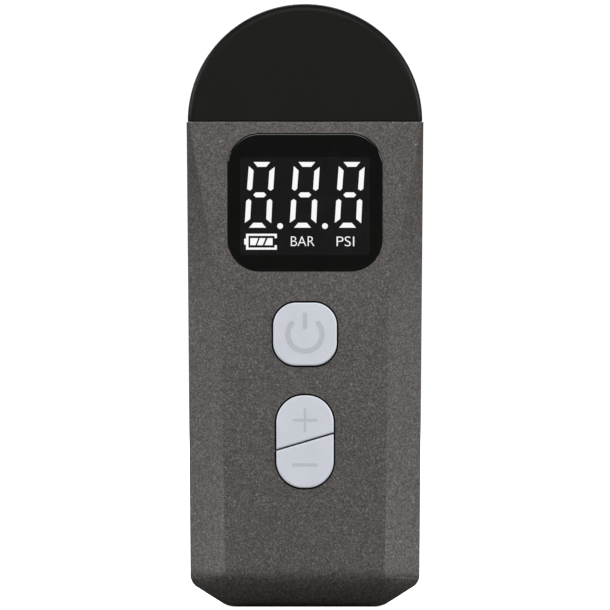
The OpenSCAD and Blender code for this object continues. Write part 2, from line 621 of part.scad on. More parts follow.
module outlet_valve() color([0.15, 0.15, 0.16]) at_cylinder() { rod_x(2.5, cyl_x1 + 1.22, cyl_x1 + 2.1); rod_x(0.9, cyl_x1 + 2, cyl_x1 + 3.2); }
module valve_spring() color([0.8, 0.8, 0.82]) at_cylinder() difference() {
    for (k = [0:3]) translate([cyl_x1 + 2.12 + k * 0.86, 0, 0]) rod_x(1.8, 0, 0.45);
    rod_x(1.3, 10, 30);
}

front_shell();
rear_shell();
head_cap();
outlet_collar();
outlet_insert();
outlet_seal();
outlet_manifold();
display_window();
display_module();
power_button();
plus_button();
minus_button();
power_plunger();
plus_plunger();
minus_plunger();
tact_switches();
main_board();
board_screws();
charging_socket();
charging_board();
pressure_sensor();
front_cell();
rear_cell();
battery_tray();
battery_tabs();
motor_can();
motor_end_cap();
motor_magnets();
motor_terminals();
motor_bushes();
motor_screws();
motor_shaft();
armature_core();
armature_windings();
commutator();
drive_pinion();
gearbox_frame();
crank_shaft();
crank_gear();
crank_disc();
crank_bearings();
crank_pin();
connecting_rod();
wrist_pin();
piston();
piston_ring();
inlet_reed();
pump_cylinder();
valve_plate();
cylinder_head();
head_screws();
outlet_valve();
valve_spring();
delivery_tube();
frame_screws();
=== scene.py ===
import bpy
import bmesh
import json
import math
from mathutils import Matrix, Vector

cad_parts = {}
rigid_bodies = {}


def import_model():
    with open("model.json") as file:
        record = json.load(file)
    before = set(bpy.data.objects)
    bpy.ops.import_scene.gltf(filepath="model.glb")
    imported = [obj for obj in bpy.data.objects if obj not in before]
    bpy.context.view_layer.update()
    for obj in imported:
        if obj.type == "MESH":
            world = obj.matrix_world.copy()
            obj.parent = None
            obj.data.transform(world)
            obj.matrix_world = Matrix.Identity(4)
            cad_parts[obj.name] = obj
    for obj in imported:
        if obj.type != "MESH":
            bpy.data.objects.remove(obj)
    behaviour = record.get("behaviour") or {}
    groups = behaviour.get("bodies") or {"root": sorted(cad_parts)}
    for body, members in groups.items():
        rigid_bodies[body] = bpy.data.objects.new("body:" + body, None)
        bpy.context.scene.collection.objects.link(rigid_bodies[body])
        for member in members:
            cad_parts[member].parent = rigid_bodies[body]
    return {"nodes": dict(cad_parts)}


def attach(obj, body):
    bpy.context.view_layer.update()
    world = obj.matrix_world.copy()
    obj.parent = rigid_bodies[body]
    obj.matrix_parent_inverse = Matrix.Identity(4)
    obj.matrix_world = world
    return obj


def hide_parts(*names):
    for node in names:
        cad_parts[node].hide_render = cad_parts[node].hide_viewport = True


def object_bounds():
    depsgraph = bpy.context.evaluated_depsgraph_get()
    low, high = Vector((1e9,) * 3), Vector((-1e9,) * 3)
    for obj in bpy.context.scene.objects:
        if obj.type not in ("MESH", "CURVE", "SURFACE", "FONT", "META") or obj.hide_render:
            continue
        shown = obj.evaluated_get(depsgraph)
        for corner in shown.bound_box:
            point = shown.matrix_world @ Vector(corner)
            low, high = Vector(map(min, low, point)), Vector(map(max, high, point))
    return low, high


for o in list(bpy.data.objects):
    bpy.data.objects.remove(o)

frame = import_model()
NODES = frame["nodes"]
cad_lo, cad_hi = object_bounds()
MM = 0.001
scene = bpy.context.scene


# ---- materials ------------------------------------------------------------------------------------------------

class Mat:
    """A material with its node tree, and short ways to add nodes to it. Coordinates are the object's own, in metres."""

    def __init__(self, name):
        self.m = bpy.data.materials.new(name)
        self.m.use_nodes = True
        self.t = self.m.node_tree
        self.t.nodes.clear()
        self.out = self.node("ShaderNodeOutputMaterial")
        self.b = self.node("ShaderNodeBsdfPrincipled")
        self.link(self.b, "BSDF", self.out, "Surface")
        self.co = self.node("ShaderNodeTexCoord")
        self.normal = None

    def node(self, kind, **values):
        n = self.t.nodes.new(kind)
        for k, v in values.items():
            setattr(n, k, v)
        return n

    def link(self, a, out, b, inp):
        self.t.links.new(a.outputs[out], b.inputs[inp])

    def set(self, **values):
        for k, v in values.items():
            name = k.replace("_", " ")
            socket = self.b.inputs[name]
            socket.default_value = (*v, 1) if hasattr(v, "__len__") and len(v) == 3 and socket.type == "RGBA" else v
        return self

    def place(self, loc=(0, 0, 0), scale=(1, 1, 1), rot=(0, 0, 0)):
        n = self.node("ShaderNodeMapping")
        n.inputs["Location"].default_value = loc
        n.inputs["Rotation"].default_value = rot
        n.inputs["Scale"].default_value = scale
        self.link(self.co, "Object", n, "Vector")
        return n

    def noise(self, scale, detail=3.0, rough=0.55, stretch=(1, 1, 1)):
        n = self.node("ShaderNodeTexNoise")
        n.inputs["Scale"].default_value = scale
        n.inputs["Detail"].default_value = detail
        n.inputs["Roughness"].default_value = rough
        self.link(self.place(scale=stretch), "Vector", n, "Vector")
        return n

    def cells(self, scale, randomness=1.0):
        n = self.node("ShaderNodeTexVoronoi")
        n.inputs["Scale"].default_value = scale
        n.inputs["Randomness"].default_value = randomness
        self.link(self.co, "Object", n, "Vector")
        return n

    def ramp(self, source, out, stops, mode="LINEAR"):
        n = self.node("ShaderNodeValToRGB")
        n.color_ramp.interpolation = mode
        while len(n.color_ramp.elements) < len(stops):
            n.color_ramp.elements.new(0.5)
        for el, (p, c) in zip(n.color_ramp.elements, stops):
            el.position = p
            el.color = (*c, 1) if hasattr(c, "__len__") else (c, c, c, 1)
        self.link(source, out, n, "Fac")
        return n

    def spread(self, source, out, lo, hi, a=0.3, b=0.7):
        n = self.node("ShaderNodeMapRange")
        n.inputs["From Min"].default_value = a
        n.inputs["From Max"].default_value = b
        n.inputs["To Min"].default_value = lo
        n.inputs["To Max"].default_value = hi
        self.link(source, out, n, "Value")
        return n

    def mix(self, mode, fac, a, b):
        """a and b are (node, output) or a colour; fac is (node, output) or a number."""
        n = self.node("ShaderNodeMix", data_type="RGBA", blend_type=mode)
        for sock, v in ((n.inputs[0], fac), (n.inputs[6], a), (n.inputs[7], b)):
            if isinstance(v, tuple) and isinstance(v[0], bpy.types.Node):
                self.t.links.new(v[0].outputs[v[1]], sock)
            elif sock.type == "RGBA":
                sock.default_value = (*v, 1)
            else:
                sock.default_value = v
        return n

    def bump(self, source, out, distance, strength=1.0):
        n = self.node("ShaderNodeBump")
        n.inputs["Distance"].default_value = distance
        n.inputs["Strength"].default_value = strength
        self.link(source, out, n, "Height")
        if self.normal is not None:
            self.link(self.normal, "Normal", n, "Normal")
        self.normal = n
        self.link(n, "Normal", self.b, "Normal")
        return n

    def edge(self, radius=0.0005, lo=0.985, hi=0.90):
        """A mask that is 1 along sharp edges: where the rounded normal leaves the true one."""
        bev = self.node("ShaderNodeBevel")
        bev.samples = 4
        bev.inputs["Radius"].default_value = radius
        geo = self.node("ShaderNodeNewGeometry")
        dot = self.node("ShaderNodeVectorMath", operation="DOT_PRODUCT")
        self.link(bev, "Normal", dot, 0)
        self.link(geo, "Normal", dot, 1)
        return self.spread(dot, "Value", 0.0, 1.0, lo, hi)


def metal(name, color, rough, scale=2500, vary=0.12, stretch=(1, 1, 1), dist=0.000004, metallic=1.0, **more):
    """A bare metal with fine grain, broad colour drift and uneven roughness."""
    m = Mat(name)
    n = m.noise(scale, 4.0, 0.6, stretch)
    broad = m.noise(160, 2.0)
    dark = tuple(c * (1 - vary) for c in color)
    light = tuple(min(1, c * (1 + vary)) for c in color)
    c = m.ramp(broad, "Fac", [(0.3, dark), (0.7, light)])
    m.link(c, "Color", m.b, "Base Color")
    r = m.spread(n, "Fac", rough * 0.8, rough * 1.25)
    m.link(r, "Result", m.b, "Roughness")
    m.bump(n, "Fac", dist)
    m.set(Metallic=metallic, **more)
    return m.m


def plastic(name, color, rough, scale=3000, vary=0.08, dist=0.000006, **more):
    """A moulded plastic with a fine spark-eroded grain and slight colour drift."""
    m = Mat(name)
    n = m.noise(scale, 3.0, 0.6)
    broad = m.noise(90, 2.0)
    dark = tuple(c * (1 - vary) for c in color)
    light = tuple(min(1, c * (1 + vary)) for c in color)
    c = m.ramp(broad, "Fac", [(0.3, dark), (0.7, light)])
    m.link(c, "Color", m.b, "Base Color")
    r = m.spread(n, "Fac", rough * 0.85, min(1, rough * 1.15))
    m.link(r, "Result", m.b, "Roughness")
    m.bump(n, "Fac", dist)
    m.set(**more)
    return m.m


def paint():
    """Sprayed gunmetal: flakes of differing brightness in a matt lacquer over a fine grain."""
    m = Mat("gunmetal_paint")
    flake = m.cells(3100)
    fine = m.cells(6000)
    broad = m.noise(45, 2.0)
    grain = m.noise(2600, 3.0, 0.65)
    base = m.ramp(flake, "Color", [(0.0, (0.075, 0.069, 0.066)), (0.5, (0.118, 0.110, 0.106)),
                                   (0.88, (0.175, 0.166, 0.161)), (1.0, (0.26, 0.249, 0.241))])
    tint = m.ramp(fine, "Color", [(0.0, 0.6), (0.5, 1.0), (1.0, 1.4)])
    a = m.mix("MULTIPLY", 1.0, (base, "Color"), (tint, "Color"))
    drift = m.ramp(broad, "Fac", [(0.25, 0.95), (0.75, 1.05)])
    b = m.mix("MULTIPLY", 1.0, (a, 2), (drift, "Color"))
    # a lighter colour mixed in along the sharp edges: a painted highlight on the edges
    painted_edge_highlight = m.edge(0.0004)
    highlight_amount = m.spread(painted_edge_highlight, "Result", 0.0, 0.18, 0.0, 1.0)
    c = m.mix("MIX", (highlight_amount, "Result"), (b, 2), (0.24, 0.232, 0.225))
    m.link(c, 2, m.b, "Base Color")
    r = m.spread(fine, "Color", 0.28, 0.38, 0.0, 1.0)
    m.link(r, "Result", m.b, "Roughness")
    m.bump(grain, "Fac", 0.000022)
    m.bump(flake, "Distance", 0.00001, 0.6)
    m.set(Metallic=0.85)
    return m.m


def head_black():
    """Satin black moulding, smooth, with faint dust."""
    m = Mat("head_black")
    grain = m.noise(5200, 2.0, 0.5)
    broad = m.noise(60, 3.0)
    speck = m.cells(420)
    base = m.ramp(broad, "Fac", [(0.25, (0.0058, 0.0055, 0.0048)), (0.75, (0.0074, 0.0070, 0.0062))])
    dust = m.ramp(speck, "Distance", [(0.0, 1.0), (0.055, 1.0), (0.085, 0.0)])
    pick = m.ramp(speck, "Color", [(0.68, 0.0), (0.74, 0.8)])
    both = m.mix("MULTIPLY", 1.0, (dust, "Color"), (pick, "Color"))
    c = m.mix("MIX", (both, 2), (base, "Color"), (0.085, 0.085, 0.082))
    m.link(c, 2, m.b, "Base Color")
    r = m.spread(grain, "Fac", 0.40, 0.52)
    m.link(r, "Result", m.b, "Roughness")
    m.bump(grain, "Fac", 0.0000035)
    m.set(IOR=1.42, Specular_IOR_Level=0.14)
    return m.m


def turned(name, color, rough, axis_z=0.11075, pitch=5200.0, dist=0.0000012):
    """Brass turned on a lathe: fine rings round the outlet's axis."""
    m = Mat(name)
    p = m.place(loc=(0, 0, -axis_z))
    w = m.node("ShaderNodeTexWave", wave_type="RINGS", rings_direction="Y", wave_profile="SIN")
    w.inputs["Scale"].default_value = pitch / 20
    w.inputs["Distortion"].default_value = 1.6
    w.inputs["Detail"].default_value = 3.0
    w.inputs["Detail Scale"].default_value = 14.0
    m.link(p, "Vector", w, "Vector")
    n = m.noise(900, 4.0, 0.6)
    broad = m.noise(260, 3.0)
    dark = tuple(x * 0.88 for x in color)
    light = tuple(min(1, x * 1.10) for x in color)
    c = m.ramp(broad, "Fac", [(0.28, dark), (0.5, color), (0.72, light)])
    d = m.mix("MULTIPLY", 0.5, (c, "Color"), (m.ramp(w, "Fac", [(0.0, 0.78), (1.0, 1.12)]), "Color"))
    m.link(d, 2, m.b, "Base Color")
    r = m.spread(n, "Fac", rough * 0.75, rough * 1.3)
    m.link(r, "Result", m.b, "Roughness")
    m.bump(w, "Fac", dist)
    m.bump(n, "Fac", 0.000002)
    round_axis = m.node("ShaderNodeTangent", direction_type="RADIAL", axis="Y")
    m.link(round_axis, "Tangent", m.b, "Tangent")
    m.set(Metallic=1.0, Anisotropic=0.7, Anisotropic_Rotation=0.0)
    return m.m


def collar_plastic():
    """Matt moulded plastic with an eroded texture."""
    m = Mat("collar_plastic")
    n = m.noise(1700, 4.0, 0.72)
    broad = m.noise(120, 2.0)
    c = m.ramp(n, "Fac", [(0.36, (0.0012, 0.0012, 0.0012)), (0.5, (0.0115, 0.0117, 0.0117)), (0.64, (0.044, 0.0445, 0.044))])
    d = m.mix("MULTIPLY", 1.0, (c, "Color"), (m.ramp(broad, "Fac", [(0.3, 0.9), (0.7, 1.1)]), "Color"))
    # a lighter grey mixed in along the sharp edges: a painted highlight on the rims
    painted_edge_highlight = m.edge(0.0003)
    highlight_amount = m.spread(painted_edge_highlight, "Result", 0.0, 0.25, 0.0, 1.0)
    f = m.mix("MIX", (highlight_amount, "Result"), (d, 2), (0.07, 0.07, 0.069))
    m.link(f, 2, m.b, "Base Color")
    r = m.spread(n, "Fac", 0.5, 0.64)
    m.link(r, "Result", m.b, "Roughness")
    m.bump(n, "Fac", 0.00006)
    m.set(Specular_IOR_Level=0.3)
    return m.m


def lens_black(name, color, rough):
    """Polished window with the faint waviness of a moulded sheet and traces of handling."""
    m = Mat(name)
    wave = m.noise(70, 1.0)
    smear = m.noise(240, 5.0, 0.7)
    c = m.ramp(smear, "Fac", [(0.3, tuple(x * 0.9 for x in color)), (0.75, tuple(x * 1.1 for x in color))])
    m.link(c, "Color", m.b, "Base Color")
    r = m.spread(smear, "Fac", rough * 0.7, rough * 1.6)
    m.link(r, "Result", m.b, "Roughness")
    m.bump(wave, "Fac", 0.000012)
    m.set(IOR=1.49)
    return m.m


def key_white(name, color, rough=0.48):
    """Bluish white ABS with a satin grain."""
    m = Mat(name)
    n = m.noise(3000, 3.0, 0.6)
    broad = m.noise(150, 2.0)
    c = m.ramp(n, "Fac", [(0.3, tuple(x * 0.965 for x in color)), (0.7, tuple(min(1, x * 1.03) for x in color))])
    d = m.mix("MULTIPLY", 1.0, (c, "Color"), (m.ramp(broad, "Fac", [(0.3, 0.97), (0.7, 1.03)]), "Color"))
    m.link(d, 2, m.b, "Base Color")
    r = m.spread(n, "Fac", rough * 0.88, rough * 1.12)
    m.link(r, "Result", m.b, "Roughness")
    m.bump(n, "Fac", 0.000006)
    m.set(Subsurface_Weight=0.08, Subsurface_Radius=(0.0012, 0.0012, 0.0012), Subsurface_Scale=1.0)
    return m.m


def lit(name, color, strength):
    """A lit display segment: bright, with the slight unevenness of its diffuser."""
    m = Mat(name)
    n = m.noise(900, 2.0)
    c = m.ramp(n, "Fac", [(0.3, tuple(x * 0.97 for x in color)), (0.7, color)])
    m.link(c, "Color", m.b, "Emission Color")
    m.link(m.ramp(n, "Fac", [(0.3, 0.02), (0.7, 0.03)]), "Color", m.b, "Base Color")
    r = m.spread(n, "Fac", 0.4, 0.55)
    m.link(r, "Result", m.b, "Roughness")
    m.set(Emission_Strength=strength)
    return m.m


def board_green():
    """Circuit board: solder mask over copper tracks."""
    m = Mat("circuit_board")
    t = m.node("ShaderNodeTexBrick")
    t.inputs["Scale"].default_value = 260
    t.inputs["Mortar Size"].default_value = 0.03
    t.inputs["Color1"].default_value = (0.010, 0.075, 0.030, 1)
    t.inputs["Color2"].default_value = (0.012, 0.090, 0.036, 1)
    t.inputs["Mortar"].default_value = (0.030, 0.16, 0.07, 1)
    m.link(m.place(rot=(math.pi / 2, 0, 0)), "Vector", t, "Vector")
    n = m.noise(1400, 3.0)
    d = m.mix("MULTIPLY", 1.0, (t, "Color"), (m.ramp(n, "Fac", [(0.3, 0.85), (0.7, 1.1)]), "Color"))
    m.link(d, 2, m.b, "Base Color")
    r = m.spread(n, "Fac", 0.28, 0.42)
    m.link(r, "Result", m.b, "Roughness")
    m.bump(t, "Fac", -0.00002)
    return m.m


def wound_copper():
    """Enamelled wire, wound in close turns."""
    m = Mat("wound_copper")
    w = m.node("ShaderNodeTexWave", wave_type="BANDS", bands_direction="Z")
    w.inputs["Scale"].default_value = 420
    w.inputs["Distortion"].default_value = 0.8
    m.link(m.co, "Object", w, "Vector")
    c = m.ramp(w, "Fac", [(0.0, (0.16, 0.045, 0.018)), (0.6, (0.56, 0.20, 0.085)), (1.0, (0.74, 0.30, 0.14))])
    m.link(c, "Color", m.b, "Base Color")
    r = m.spread(m.noise(1800, 3.0), "Fac", 0.22, 0.38)
    m.link(r, "Result", m.b, "Roughness")
    m.bump(w, "Fac", 0.00006)
    m.set(Metallic=0.85, Coat_Weight=0.5, Coat_Roughness=0.15)
    return m.m


MAT = {
    "shell_paint": paint(),
    "head_gloss": head_black(),
    "collar_plastic": collar_plastic(),
    "brass": turned("turned_brass", (0.51, 0.355, 0.215), 0.42),
    # nitrile kept near black: partly the rubber's own black, partly painted shade for the seal seen deep in the outlet
    # hole
    "seal_rubber": plastic("nitrile_rubber", (0.0022, 0.0022, 0.0022), 0.75, 1500, 0.15, 0.00002, Specular_IOR_Level=0.08),
    "black_plastic": plastic("glass_filled_nylon", (0.006, 0.006, 0.0062), 0.6, 2200, 0.12, 0.00002, Specular_IOR_Level=0.15),
    "window": lens_black("tinted_window", (0.0026, 0.0031, 0.0022), 0.07),
    "display_black": lens_black("display_black", (0.0068, 0.0068, 0.0068), 0.09),
    "key_plastic": key_white("key_white", (0.583, 0.606, 0.664)),
    "key_icon": key_white("key_print", (0.478, 0.498, 0.547), 0.6),
    "display_segment": lit("display_segment", (1.0, 1.0, 1.0), 0.9),
    "circuit_board": board_green(),
    "white_plastic": plastic("acetal_white", (0.72, 0.72, 0.70), 0.42, 2600, 0.04, 0.000008),
    "steel": metal("bright_steel", (0.60, 0.60, 0.61), 0.28),
    "cell_foil": metal("laminated_foil", (0.55, 0.56, 0.58), 0.42, 700, 0.10, dist=0.00004),
    "motor_steel": metal("nickelled_can", (0.66, 0.65, 0.63), 0.24, 1800, 0.08, (1, 1, 0.08), 0.000005),
    "magnet": plastic("bonded_ferrite", (0.035, 0.034, 0.033), 0.62, 2400, 0.15, 0.00003),
    "lamination": metal("stacked_laminations", (0.30, 0.30, 0.31), 0.40, 900, 0.15, (0.05, 0.05, 3.0), 0.00003),
    "copper": wound_copper(),
    "frame_casting": plastic("cast_frame", (0.016, 0.016, 0.0165), 0.62, 1300, 0.18, 0.00004),
    "frame_alloy": metal("machined_alloy", (0.58, 0.58, 0.60), 0.34, 2000, 0.10, (1, 1, 0.15), 0.000008),
    "tube_silicone": plastic("silicone_tube", (0.50, 0.50, 0.49), 0.5, 900, 0.05, 0.00001,
                             Transmission_Weight=0.35),
}

# a darker, less glossy copy of the black nylon for the manifold seen deep in the outlet hole: painted shade
SHADED_MANIFOLD = plastic("manifold_nylon_painted_shade", (0.0016, 0.0016, 0.0016), 0.75, 1500, 0.15, 0.00003, Specular_IOR_Level=0.05)

for name, o in NODES.items():
    for s in o.material_slots:
        if s.material is not None:
            key = s.material.name.split(".")[0]
            if key in MAT:
                s.material = MAT[key]
            else:
                raise SystemExit("no material for " + key)
NODES["outlet_manifold"].material_slots[0].material = SHADED_MANIFOLD


# ---- mesh helpers ---------------------------------------------------------------------------------------------

def add_object(name, me, material, body="housing"):
    o = bpy.data.objects.new(name, me)
    scene.collection.objects.link(o)
    me.materials.clear()
    me.materials.append(MAT[material])
    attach(o, body)
    return o


def smooth(me, degrees=32):
    for p in me.polygons:
        p.use_smooth = True
    me.set_sharp_from_angle(angle=math.radians(degrees))


def clean_copy(node):
    """The CAD node's mesh as a bmesh with its split corners joined and its flat faces whole."""
    bm = bmesh.new()
    bm.from_mesh(NODES[node].data)
    bmesh.ops.remove_doubles(bm, verts=bm.verts, dist=2e-6)
    bmesh.ops.dissolve_degenerate(bm, edges=bm.edges, dist=1e-7)
    bmesh.ops.dissolve_limit(bm, angle_limit=math.radians(0.3), verts=bm.verts, edges=bm.edges, use_dissolve_boundaries=False)
    bm.normal_update()
    return bm


def hull_planes(bm):
    """The planes of the convex hull of the mesh."""
    h = bm.copy()
    g = bmesh.ops.convex_hull(h, input=h.verts)
    h.normal_update()
    c = sum((v.co for v in h.verts), Vector()) / len(h.verts)
    planes = []
    for f in [x for x in g["geom"] if isinstance(x, bmesh.types.BMFace)]:
        n = f.normal if f.normal.dot(f.calc_center_median() - c) > 0 else -f.normal
        d = n.dot(f.verts[0].co)
        if not any((n - m).length < 1e-3 and abs(d - e) < 1e-5 for m, e in planes):
            planes.append((n.copy(), d))
    h.free()
    return planes


def soften(node, name, material, facet, rim, weigh=None, segments=3, body="housing", cuts=()):
    """Stands in for a CAD node with its edges rounded: facet is the width on the outside's own edges, rim the width on its openings."""
    bm = clean_copy(node)
    planes = hull_planes(bm)
    for z in cuts:
        bmesh.ops.bisect_plane(bm, geom=bm.verts[:] + bm.edges[:] + bm.faces[:], dist=1e-6, plane_co=(0, 0, z), plane_no=(0, 0, 1))
        bm.normal_update()

    def outer_face(f):
        p, q = f.calc_center_median(), f.normal
        return any(n.dot(q) > 0.9995 and abs(n.dot(p) - d) < 6e-6 for n, d in planes)

    layer = bm.edges.layers.float.new("bevel_weight_edge")
    biggest = max(facet, rim)
    for e in bm.edges:
        if len(e.link_faces) != 2:
            continue
        angle = e.calc_face_angle(0)
        if angle < math.radians(9.5) or not e.is_convex:
            continue
        outer = [outer_face(f) for f in e.link_faces]
        w = 0
        if all(outer):
            w = facet
        elif any(outer):
            w = rim
        if weigh is not None:
            w = weigh(e, w, outer)
        e[layer] = w / biggest
    me = bpy.data.meshes.new(name + "_raw")
    bm.to_mesh(me)
    bm.free()
    raw = bpy.data.objects.new(name + "_raw", me)
    scene.collection.objects.link(raw)
    b = raw.modifiers.new("round", "BEVEL")
    b.limit_method = "WEIGHT"
    b.width = biggest
    b.offset_type = "OFFSET"
    b.segments = segments
    b.profile = 0.5
    b.use_clamp_overlap = True
    b.miter_outer = "MITER_SHARP"
    bpy.context.view_layer.update()
    done = bpy.data.meshes.new_from_object(raw.evaluated_get(bpy.context.evaluated_depsgraph_get()))
    bpy.data.objects.remove(raw)
    bm = bmesh.new()
    bm.from_mesh(done)
    bmesh.ops.remove_doubles(bm, verts=bm.verts, dist=1.5e-6)
    bmesh.ops.dissolve_degenerate(bm, edges=bm.edges, dist=5e-7)
    bm.to_mesh(done)
    bm.free()
    done.name = name
    smooth(done)
    o = add_object(name, done, material, body)
    w = o.modifiers.new("even_normals", "WEIGHTED_NORMAL")
    w.keep_sharp = True
    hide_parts(node)
    return o


def shape(name, rings, material, body="housing", closed_caps=True, replaces=None, degrees=32):
    """A solid through rings of equal length, capped at both ends."""
    n = len(rings[0])
    verts = [tuple(c * MM for c in p) for r in rings for p in r]
    faces = []
    for i in range(len(rings) - 1):
        for j in range(n):
            k = (j + 1) % n
            faces.append((i * n + j, i * n + k, (i + 1) * n + k, (i + 1) * n + j))
    if closed_caps:
        faces.append(tuple(reversed(range(n))))
        faces.append(tuple(range((len(rings) - 1) * n, len(rings) * n)))
    me = bpy.data.meshes.new(name)
    me.from_pydata(verts, [], faces)
    bm = bmesh.new()
    bm.from_mesh(me)
    bmesh.ops.remove_doubles(bm, verts=bm.verts, dist=0.000002)
    bmesh.ops.dissolve_degenerate(bm, edges=bm.edges, dist=0.000002)
    bmesh.ops.recalc_face_normals(bm, faces=bm.faces)
    bm.to_mesh(me)
    bm.free()
    smooth(me, degrees)
    o = add_object(name, me, material, body)
    w = o.modifiers.new("even_normals", "WEIGHTED_NORMAL")
    w.keep_sharp = True
    if replaces:
        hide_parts(*replaces)
    return o


def plates(name, outlines, y_front, thick, material, body="housing"):
    """Thin inlays: outlines in X and Z (mm), the face at y_front, thick mm deep."""
    bm = bmesh.new()
    for pts in outlines:
        front = [bm.verts.new((x * MM, y_front * MM, z * MM)) for x, z in pts]
        back = [bm.verts.new((x * MM, (y_front + thick) * MM, z * MM)) for x, z in pts]
        bm.faces.new(front)
        bm.faces.new(list(reversed(back)))
        for i in range(len(pts)):
            j = (i + 1) % len(pts)
            bm.faces.new((front[j], front[i], back[i], back[j]))
    bmesh.ops.recalc_face_normals(bm, faces=bm.faces)
    me = bpy.data.meshes.new(name)
    bm.to_mesh(me)
    bm.free()
    return add_object(name, me, material, body)


# ---- casing ---------------------------------------------------------------------------------------------------

def seam_edges(e, w, outer):
    """The edges at the seam with the head and at the parting line get a narrow round."""
    a, b = (v.co / MM for v in e.verts)
    if abs(a.z - 110.6) < 0.02 and abs(b.z - 110.6) < 0.02:
        return 0.00022 if any(outer) else 0
    if abs(a.y) < 0.13 and abs(b.y) < 0.13:
        return 0.00025 if any(outer) else 0
    if max(a.y, b.y) < -15 and 17 < abs(a.x) < 20 and min(a.z, b.z) > 5.5 and max(a.z, b.z) < 8.05:
        return 0
    if abs(a.z - b.z) < 0.12 * (a - b).length and 0.2 < a.z < 8.0 and e.calc_face_angle(0) < math.radians(25):
        return 0
    return w


case_front = soften("front_shell", "case_front", "shell_paint", 0.00055, 0.00016, seam_edges, cuts=(0.0095, 0.008))
case_rear = soften("rear_shell", "case_rear", "shell_paint", 0.00055, 0.00022, seam_edges, cuts=(0.0078, 0.0065))

# the halves meet with a hair's gap, as moulded shells do, so that no light passes under the base
for o, near, far, move in ((case_front, -0.0005, -0.000119, 0.0001), (case_rear, 0.000119, 0.0005, -0.0001)):
    for v in o.data.vertices:
        if near < v.co.y < far:
            v.co.y += move * (1.18 if v.co.z < 0.0092 else 1.0)


def ease(o, crease, top, tilt=5.8):
    """Leans the shading normals over the last millimetres above the base's fillet, so that the light fades into it."""
    bpy.context.view_layer.update()
    shown = o.evaluated_get(bpy.context.evaluated_depsgraph_get())
    me = shown.to_mesh()
    normals = [Vector(c.vector) for c in me.corner_normals]
    for p in me.polygons:
        if abs(p.normal.y) < 0.34 or p.normal.y * p.center.y < 0 or not -0.28 < p.normal.z < 0.05:
            continue
        for li in p.loop_indices:
            z = me.vertices[me.loops[li].vertex_index].co.z / MM
            if crease - 0.2 < z < top:
                a = math.radians(tilt) * min(1.0, (top - z) / (top - crease)) ** 2.2
                flat = Vector((normals[li].x, normals[li].y)).normalized() * math.cos(a)
                normals[li] = Vector((flat.x, flat.y, -math.sin(a)))
    shown.to_mesh_clear()
    o.modifiers.remove(o.modifiers["even_normals"])
    o.data.normals_split_custom_set(normals)


ease(case_front, 6.5, 9.5)
ease(case_rear, 5.2, 7.8)


def cap_edges(e, w, outer):
    """The head's own rim is round already; its seam and the outlet opening get a narrow round."""
    return w if w and e.calc_face_angle(0) > math.radians(30) else 0


soften("head_cap", "head_cover", "head_gloss", 0.00022, 0.0002, cap_edges)
collar = soften("outlet_collar", "outlet_surround", "collar_plastic", 0.0002, 0.00018, cap_edges)
for v in collar.data.vertices:
    r = math.hypot(v.co.x, v.co.z - 0.11075)
    if r > 0.0125:
        k = (r - 0.00014) / r
        v.co.x *= k
        v.co.z = 0.11075 + (v.co.z - 0.11075) * k


def circle(r, z0, n=96, start=0.0):
    return [(r * math.cos(start + 2 * math.pi * i / n), z0 + r * math.sin(start + 2 * math.pi * i / n)) for i in range(n)]


def rrect(w, h, r, z0, bulge=0.0, n=20):
    """A rounded rectangle in X and Z whose sides swell a little."""
    pts = []
    for q in range(4):
        for i in range(n + 1):
            a = math.radians(90 * q + 90 * i / n)
            cx = (1 if q in (0, 3) else -1) * (w / 2 - r)
            cz = (1 if q < 2 else -1) * (h / 2 - r)
            x, z = cx + r * math.cos(a), cz + r * math.sin(a)
            pts.append((x * (1 + bulge * (1 - (2 * z / h) ** 2)), z * (1 + bulge * (1 - (2 * x / w) ** 2)) + z0))
    return pts


def inset(pts, d):
    """The outline moved inwards by d along its own normals."""
    n = len(pts)
    area = sum(pts[i][0] * pts[(i + 1) % n][1] - pts[(i + 1) % n][0] * pts[i][1] for i in range(n))
    s = 1 if area > 0 else -1
    out = []
    for i in range(n):
        (ax, az), (bx, bz), (cx, cz) = pts[i - 1], pts[i], pts[(i + 1) % n]
        n1 = Vector((-(bz - az), bx - ax)) * s
        n2 = Vector((-(cz - bz), cx - bx)) * s
        n1 = n1.normalized() if n1.length > 1e-9 else n2.normalized()
        n2 = n2.normalized() if n2.length > 1e-9 else n1
        m = (n1 + n2)
        m = m / max(m.length_squared, 1e-9) * 2
        out.append((bx + m.x * d, bz + m.y * d))
    return out


def ring(pts, y):
    return [(x, y, z) for x, z in pts]


def rounded_face(outline, y_back, y_face, r, steps=5):
    """Rings of a slab whose front edge is rounded with radius r."""
    rings = [ring(outline, y_back), ring(outline, y_face + r)]
    for i in range(1, steps + 1):
        a = math.pi / 2 * i / steps
        rings.append(ring(inset(outline, r * (1 - math.cos(a))), y_face + r * (1 - math.sin(a))))
    return rings


# the window: a clear front sheet tinted black, with the lit panel's edge just visible in it
LENS_Y = -19.02
shape("window_pane", rounded_face(rrect(35.0, 31.2, 7.0, 92.2, 0.012), -17.7, LENS_Y, 0.3), "window",
      replaces=["display_window"], degrees=45)
plates("display_area", [rrect(29.5, 22.3, 0.8, 91.4, 0.0, 6)], LENS_Y - 0.012, 0.02, "display_black")

